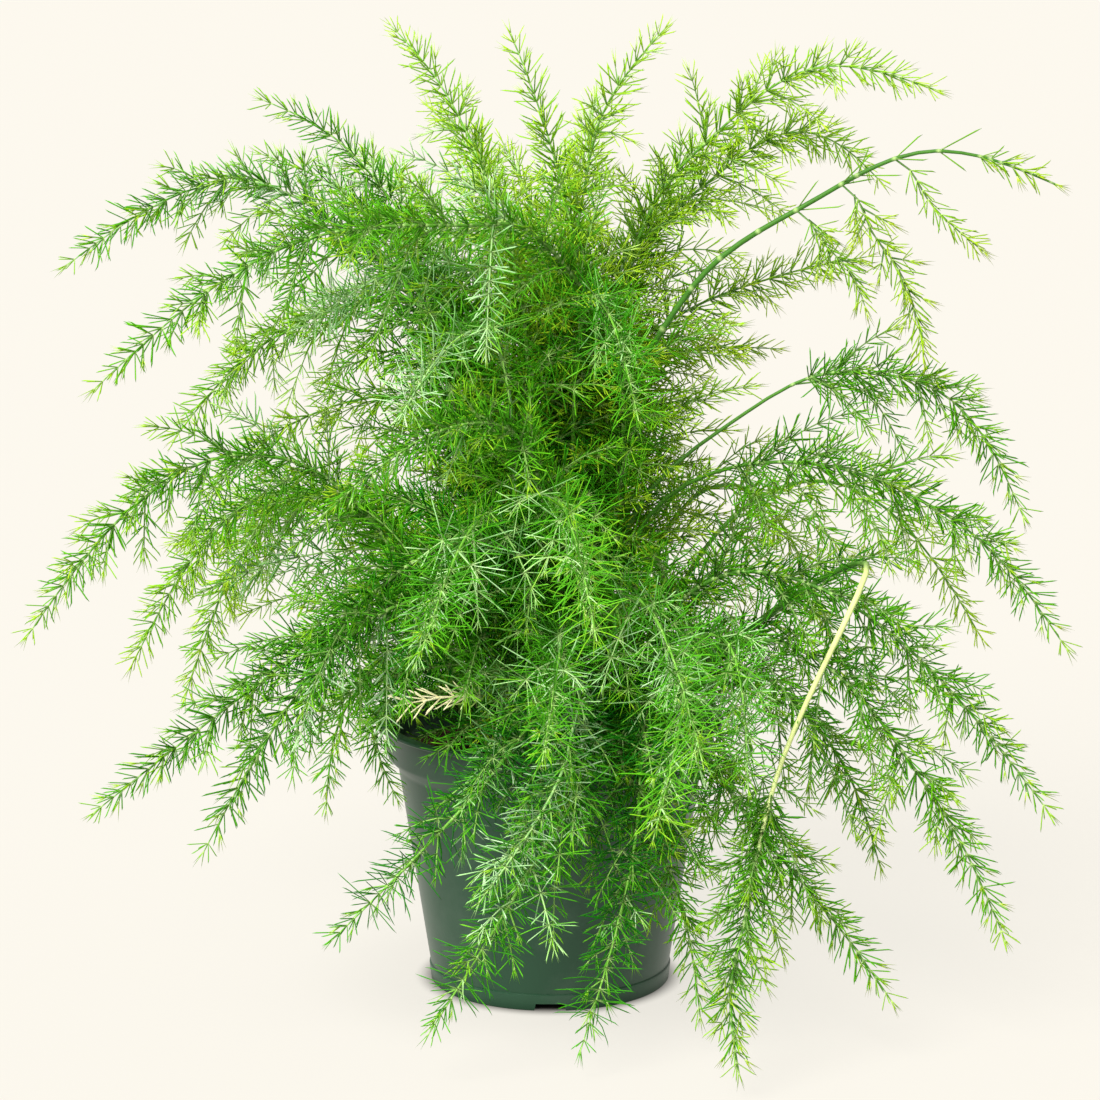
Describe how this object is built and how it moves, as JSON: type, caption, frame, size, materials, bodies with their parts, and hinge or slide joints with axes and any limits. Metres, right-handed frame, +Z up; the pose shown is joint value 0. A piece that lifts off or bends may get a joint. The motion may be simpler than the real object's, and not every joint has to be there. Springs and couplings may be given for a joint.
{
  "type": "potted foxtail fern",
  "caption": "Potted foxtail fern with arching stems, side shoots and whorls of soft needles, in a dark green tapered nursery pot filled with soil.",
  "frame": {"origin": "centre of the pot's foot on the surface that it stands on, which is also the middle of the plant's box", "axes": "+Z up, +X to the right and -Y towards the viewer of the plant's front"},
  "size_m": [0.4779, 0.384, 0.4555],
  "materials": {
    "pot_plastic": "smooth moulded dark green polypropylene with a soft satin sheen",
    "potting_soil": "dark, crumbly peat and bark potting mix",
    "green_foliage": "soft satin green needles, lime green at the tips, on pale green stems",
    "bleached_foliage": "dry cream needles on a cream stem"
  },
  "bodies": {
    "root": {"frond_back_1": "green_foliage", "frond_back_2": "green_foliage", "frond_back_3": "green_foliage", "frond_back_4": "green_foliage", "frond_back_5": "green_foliage", "frond_back_6": "green_foliage", "frond_back_7": "green_foliage", "frond_back_8": "green_foliage", "frond_bleached": "bleached_foliage", "frond_front_1": "green_foliage", "frond_front_2": "green_foliage", "frond_front_3": "green_foliage", "frond_front_4": "green_foliage", "frond_heart_1": "green_foliage", "frond_heart_2": "green_foliage", "frond_heart_3": "green_foliage", "frond_heart_4": "green_foliage", "frond_heart_5": "green_foliage", "frond_heart_6": "green_foliage", "frond_heart_7": "green_foliage", "frond_heart_8": "green_foliage", "frond_heart_9": "green_foliage", "frond_left_1": "green_foliage", "frond_left_10": "green_foliage", "frond_left_11": "green_foliage", "frond_left_12": "green_foliage", "frond_left_13": "green_foliage", "frond_left_2": "green_foliage", "frond_left_3": "green_foliage", "frond_left_4": "green_foliage", "frond_left_5": "green_foliage", "frond_left_6": "green_foliage", "frond_left_7": "green_foliage", "frond_left_8": "green_foliage", "frond_left_9": "green_foliage", "frond_right_1": "green_foliage", "frond_right_10": "green_foliage", "frond_right_11": "green_foliage", "frond_right_12": "green_foliage", "frond_right_13": "green_foliage", "frond_right_14": "green_foliage", "frond_right_2": "green_foliage", "frond_right_3": "green_foliage", "frond_right_4": "green_foliage", "frond_right_5": "green_foliage", "frond_right_6": "green_foliage", "frond_right_7": "green_foliage", "frond_right_8": "green_foliage", "frond_right_9": "green_foliage", "frond_top_1": "green_foliage", "frond_top_2": "green_foliage", "frond_top_3": "green_foliage", "frond_top_4": "green_foliage", "frond_top_5": "green_foliage", "frond_top_6": "green_foliage", "frond_top_7": "green_foliage", "frond_top_8": "green_foliage", "frond_top_9": "green_foliage", "pot": "pot_plastic", "soil": "potting_soil"}
  },
  "joints": []
}
